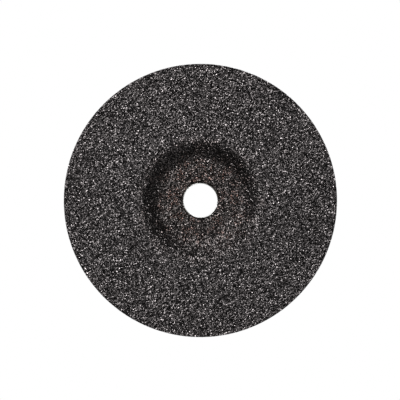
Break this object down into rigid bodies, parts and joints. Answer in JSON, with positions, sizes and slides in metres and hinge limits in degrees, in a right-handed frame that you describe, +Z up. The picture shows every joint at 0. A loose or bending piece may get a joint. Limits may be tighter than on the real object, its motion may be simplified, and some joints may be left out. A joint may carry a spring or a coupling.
{
  "type": "angle grinder carving disc",
  "caption": "Round dished abrasive disc with a sunk hub, a steel-lined centre bore and a blank label on its back, for shaping on an angle grinder.",
  "frame": {"origin": "on the spin axis, halfway through the wheel's whole depth", "axes": "the wheel stands on edge: +Y along the spin axis from the hollow working face to the labelled back, +Z up, +X to the right seen from the working face"},
  "size_m": [0.18, 0.011, 0.18],
  "materials": {
    "abrasive": "rough grain in resin",
    "glass_net": "resin-soaked woven glass",
    "ring_steel": "bright pressed sheet",
    "label_paper": "matte printed"
  },
  "bodies": {
    "root": {"face_abrasive_layer": "abrasive", "front_glass_mesh": "glass_net", "core_abrasive_layer": "abrasive", "middle_glass_mesh": "glass_net", "rear_abrasive_layer": "abrasive", "rear_glass_mesh": "glass_net", "hub_glass_mesh": "glass_net", "bore_ring": "ring_steel", "back_label": "label_paper"}
  },
  "joints": []
}
